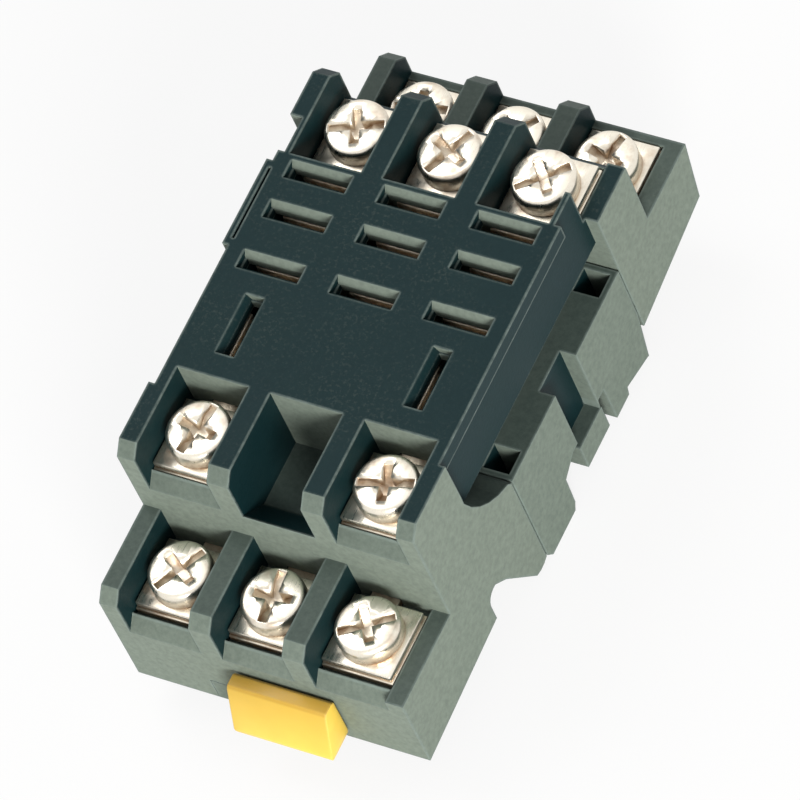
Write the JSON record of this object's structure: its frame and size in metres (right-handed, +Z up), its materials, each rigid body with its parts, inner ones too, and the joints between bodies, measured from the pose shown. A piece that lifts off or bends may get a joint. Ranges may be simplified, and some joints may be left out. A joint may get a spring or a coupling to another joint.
{
  "type": "relay socket",
  "caption": "Screw-terminal socket for a plug-in relay, with stepped terminal tiers, side grooves and a sprung pull tab that grips a mounting rail.",
  "frame": {"origin": "middle of the overall box, pull tab included, at the plane of the feet", "axes": "+X across the three columns to the side with the low side walls, +Y from the coil end with the pull tab to the far end, +Z up out of the relay face"},
  "size_m": [0.0316, 0.067, 0.028],
  "materials": {
    "housing_plastic": "moulded, fine satin",
    "foot_plastic": "moulded, fine satin",
    "latch_plastic": "moulded, satin",
    "spring_wire": "drawn wire",
    "terminal_metal": "nickel plated, stamped",
    "washer_metal": "nickel plated, stamped",
    "screw_metal": "nickel plated, cold headed"
  },
  "bodies": {
    "base": {"housing": "housing_plastic", "foot_block": "foot_plastic", "latch_cover": "foot_plastic", "latch_spring": "spring_wire", "terminal_far_upper_left": "terminal_metal", "terminal_far_upper_centre": "terminal_metal", "terminal_far_upper_right": "terminal_metal", "terminal_far_lower_left": "terminal_metal", "terminal_far_lower_centre": "terminal_metal", "terminal_far_lower_right": "terminal_metal", "terminal_front_lower_left": "terminal_metal", "terminal_front_lower_centre": "terminal_metal", "terminal_front_lower_right": "terminal_metal", "terminal_coil_left": "terminal_metal", "terminal_coil_right": "terminal_metal", "washer_far_upper_left": "washer_metal", "washer_far_upper_centre": "washer_metal", "washer_far_upper_right": "washer_metal", "washer_far_lower_left": "washer_metal", "washer_far_lower_centre": "washer_metal", "washer_far_lower_right": "washer_metal", "washer_front_lower_left": "washer_metal", "washer_front_lower_centre": "washer_metal", "washer_front_lower_right": "washer_metal", "washer_coil_left": "washer_metal", "washer_coil_right": "washer_metal"},
    "latch": {"rail_latch": "latch_plastic"},
    "far_upper_left_screw": {"screw_far_upper_left": "screw_metal"},
    "far_upper_centre_screw": {"screw_far_upper_centre": "screw_metal"},
    "far_upper_right_screw": {"screw_far_upper_right": "screw_metal"},
    "far_lower_left_screw": {"screw_far_lower_left": "screw_metal"},
    "far_lower_centre_screw": {"screw_far_lower_centre": "screw_metal"},
    "far_lower_right_screw": {"screw_far_lower_right": "screw_metal"},
    "front_lower_left_screw": {"screw_front_lower_left": "screw_metal"},
    "front_lower_centre_screw": {"screw_front_lower_centre": "screw_metal"},
    "front_lower_right_screw": {"screw_front_lower_right": "screw_metal"},
    "coil_left_screw": {"screw_coil_left": "screw_metal"},
    "coil_right_screw": {"screw_coil_right": "screw_metal"}
  },
  "joints": [
    {"name": "latch_slide", "type": "slide", "parent": "base", "child": "latch", "axis": [0, -1, 0], "range_m": [0, 0.0035], "stiffness_N_per_m": 600, "springref_m": -0.002, "deforming": ["latch_spring"]},
    {"name": "far_upper_left_turn", "type": "hinge", "parent": "base", "child": "far_upper_left_screw", "pos_m": [-0.01, 0.0202, 0.024], "axis": [0, 0, 1], "range_deg": [0, 360]},
    {"name": "far_upper_centre_turn", "type": "hinge", "parent": "base", "child": "far_upper_centre_screw", "pos_m": [0, 0.0202, 0.024], "axis": [0, 0, 1], "range_deg": [0, 360]},
    {"name": "far_upper_right_turn", "type": "hinge", "parent": "base", "child": "far_upper_right_screw", "pos_m": [0.01, 0.0202, 0.024], "axis": [0, 0, 1], "range_deg": [0, 360]},
    {"name": "far_lower_left_turn", "type": "hinge", "parent": "base", "child": "far_lower_left_screw", "pos_m": [-0.01, 0.0287, 0.0145], "axis": [0, 0, 1], "range_deg": [0, 360]},
    {"name": "far_lower_centre_turn", "type": "hinge", "parent": "base", "child": "far_lower_centre_screw", "pos_m": [0, 0.0287, 0.0145], "axis": [0, 0, 1], "range_deg": [0, 360]},
    {"name": "far_lower_right_turn", "type": "hinge", "parent": "base", "child": "far_lower_right_screw", "pos_m": [0.01, 0.0287, 0.0145], "axis": [0, 0, 1], "range_deg": [0, 360]},
    {"name": "front_lower_left_turn", "type": "hinge", "parent": "base", "child": "front_lower_left_screw", "pos_m": [-0.01, -0.0242, 0.0145], "axis": [0, 0, 1], "range_deg": [0, 360]},
    {"name": "front_lower_centre_turn", "type": "hinge", "parent": "base", "child": "front_lower_centre_screw", "pos_m": [0, -0.0242, 0.0145], "axis": [0, 0, 1], "range_deg": [0, 360]},
    {"name": "front_lower_right_turn", "type": "hinge", "parent": "base", "child": "front_lower_right_screw", "pos_m": [0.01, -0.0242, 0.0145], "axis": [0, 0, 1], "range_deg": [0, 360]},
    {"name": "coil_left_turn", "type": "hinge", "parent": "base", "child": "coil_left_screw", "pos_m": [-0.01, -0.0143, 0.024], "axis": [0, 0, 1], "range_deg": [0, 360]},
    {"name": "coil_right_turn", "type": "hinge", "parent": "base", "child": "coil_right_screw", "pos_m": [0.01, -0.0143, 0.024], "axis": [0, 0, 1], "range_deg": [0, 360]}
  ]
}
